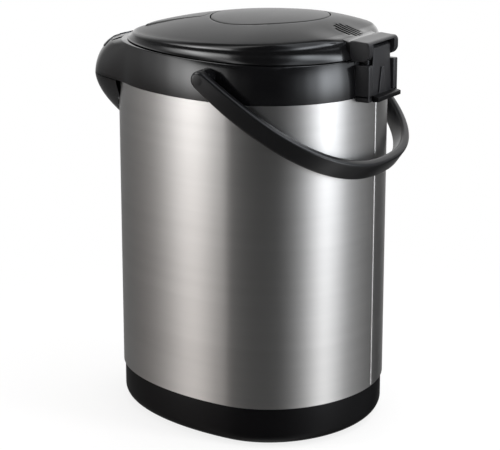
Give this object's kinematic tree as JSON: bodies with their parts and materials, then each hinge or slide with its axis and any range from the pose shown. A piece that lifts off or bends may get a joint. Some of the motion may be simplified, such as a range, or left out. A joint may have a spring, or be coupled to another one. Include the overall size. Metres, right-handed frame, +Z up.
{
  "type": "electric thermo pot",
  "caption": "Steel-walled hot water dispenser with a domed hinged lid, air pump plate, front spout nose, folding bail handle and swivel base.",
  "frame": {"origin": "on the table, on the swivel axis below the body's widest section", "axes": "+Z up, spout nose towards -Y, lid hinge towards +Y"},
  "size_m": [0.242, 0.2983, 0.3722],
  "materials": {
    "base_black": "satin black moulding",
    "gloss_black": "gloss black moulding",
    "lid_black": "satin dome with gloss side band",
    "inner_black": "moulded",
    "wrap_steel": "brushed",
    "pot_steel": "polished",
    "pin_steel": "bright",
    "shield": "bright sheet",
    "heater": "cast",
    "feet": "moulded pads",
    "bellows_rubber": "moulded",
    "silicone": "silicone",
    "white_plastic": "moulded",
    "clear": "clear",
    "motor_steel": "plated",
    "magnet": "sintered",
    "board": "laminate",
    "panel": "film",
    "lcd": "window",
    "lamp": "clear red",
    "dispense": "moulded",
    "unlock": "moulded",
    "key_grey": "moulded"
  },
  "bodies": {
    "stand": {"swivel_base": "base_black", "swivel_feet": "feet"},
    "pot": {"base_shell": "base_black", "bottom_cover": "base_black", "collar": "gloss_black", "spout_cover": "gloss_black", "outlet_nozzle": "gloss_black", "power_inlet": "inner_black", "body_wrap": "wrap_steel", "inner_pot": "pot_steel", "bottom_screws": "pin_steel", "hinge_pin": "pin_steel", "bail_pins": "pin_steel", "heat_shield": "shield", "thermostat": "shield", "heater_plate": "heater", "band_heater": "heater", "pot_gasket": "silicone", "inlet_hose": "silicone", "outlet_hose": "silicone", "spout_elbow": "silicone", "pump_housing": "white_plastic", "gauge_window": "clear", "rise_tube": "clear", "pump_motor": "motor_steel", "power_board": "board", "control_board": "board", "control_panel": "panel", "display_window": "lcd", "indicator_lamps": "lamp"},
    "lid": {"lid_shell": "lid_black", "lid_underside": "inner_black", "inner_lid_plate": "pot_steel", "lid_gasket": "silicone", "steam_duct": "silicone", "vent_grille": "lid_black", "bellows": "bellows_rubber", "press_spring": "pin_steel", "lever_pin": "pin_steel"},
    "press": {"press_plate": "lid_black"},
    "lever": {"lid_lever": "lid_black"},
    "latch": {"latch": "inner_black"},
    "detach": {"detach_lever": "gloss_black"},
    "bail": {"bail": "base_black"},
    "impeller": {"impeller": "white_plastic"},
    "magnet": {"drive_magnet": "magnet"},
    "dispense_key": {"dispense_button": "dispense"},
    "unlock_key": {"unlock_button": "unlock"},
    "reboil_key": {"reboil_button": "key_grey"},
    "keepwarm_key": {"keepwarm_button": "key_grey"},
    "timer_key": {"timer_button": "key_grey"}
  },
  "joints": [
    {"name": "pot_swivel", "type": "hinge", "parent": "stand", "child": "pot", "pos_m": [0, 0, 0.0065], "axis": [0, 0, 1], "continuous": true},
    {"name": "lid_hinge", "type": "hinge", "parent": "pot", "child": "lid", "pos_m": [0, 0.0905, 0.3465], "axis": [-1, 0, 0], "range_deg": [0, 90]},
    {"name": "lever_hinge", "type": "hinge", "parent": "lid", "child": "lever", "pos_m": [0, -0.0735, 0.3635], "axis": [-1, 0, 0], "range_deg": [0, 35], "stiffness_Nm_per_rad": 0.1, "springref_deg": -17.19},
    {"name": "latch_slide", "type": "slide", "parent": "lid", "child": "latch", "axis": [0, 1, 0], "range_m": [0, 0.005]},
    {"name": "press_slide", "type": "slide", "parent": "lid", "child": "press", "axis": [0, 0, -1], "range_m": [0, 0.014], "stiffness_N_per_m": 300, "springref_m": -0.02, "deforming": ["bellows", "press_spring"]},
    {"name": "detach_hinge", "type": "hinge", "parent": "pot", "child": "detach", "pos_m": [0, 0.0905, 0.3465], "axis": [1, 0, 0], "range_deg": [0, 8], "stiffness_Nm_per_rad": 0.2, "springref_deg": -11.46},
    {"name": "bail_hinge", "type": "hinge", "parent": "pot", "child": "bail", "pos_m": [0, -0.016, 0.328], "axis": [1, 0, 0], "range_deg": [0, 126]},
    {"name": "dispense_slide", "type": "slide", "parent": "pot", "child": "dispense_key", "axis": [0, 0.4351, -0.9004], "range_m": [0, 0.0012], "stiffness_N_per_m": 300, "springref_m": -0.003},
    {"name": "unlock_slide", "type": "slide", "parent": "pot", "child": "unlock_key", "axis": [0, 0.4351, -0.9004], "range_m": [0, 0.0012], "stiffness_N_per_m": 300, "springref_m": -0.003},
    {"name": "reboil_slide", "type": "slide", "parent": "pot", "child": "reboil_key", "axis": [0, 0.4351, -0.9004], "range_m": [0, 0.0012], "stiffness_N_per_m": 300, "springref_m": -0.003},
    {"name": "keepwarm_slide", "type": "slide", "parent": "pot", "child": "keepwarm_key", "axis": [0, 0.4351, -0.9004], "range_m": [0, 0.0012], "stiffness_N_per_m": 300, "springref_m": -0.003},
    {"name": "timer_slide", "type": "slide", "parent": "pot", "child": "timer_key", "axis": [0, 0.4351, -0.9004], "range_m": [0, 0.0012], "stiffness_N_per_m": 300, "springref_m": -0.003},
    {"name": "magnet_spin", "type": "hinge", "parent": "pot", "child": "magnet", "pos_m": [0, -0.114, 0.04], "axis": [0, 0, 1], "continuous": true},
    {"name": "impeller_spin", "type": "hinge", "parent": "pot", "child": "impeller", "pos_m": [0, -0.114, 0.055], "axis": [0, 0, 1], "continuous": true}
  ],
  "couplings": [
    {"joint": "latch_slide", "follows": "lever_hinge", "m_per_rad": 0.008},
    {"joint": "impeller_spin", "follows": "magnet_spin", "ratio": 1}
  ]
}
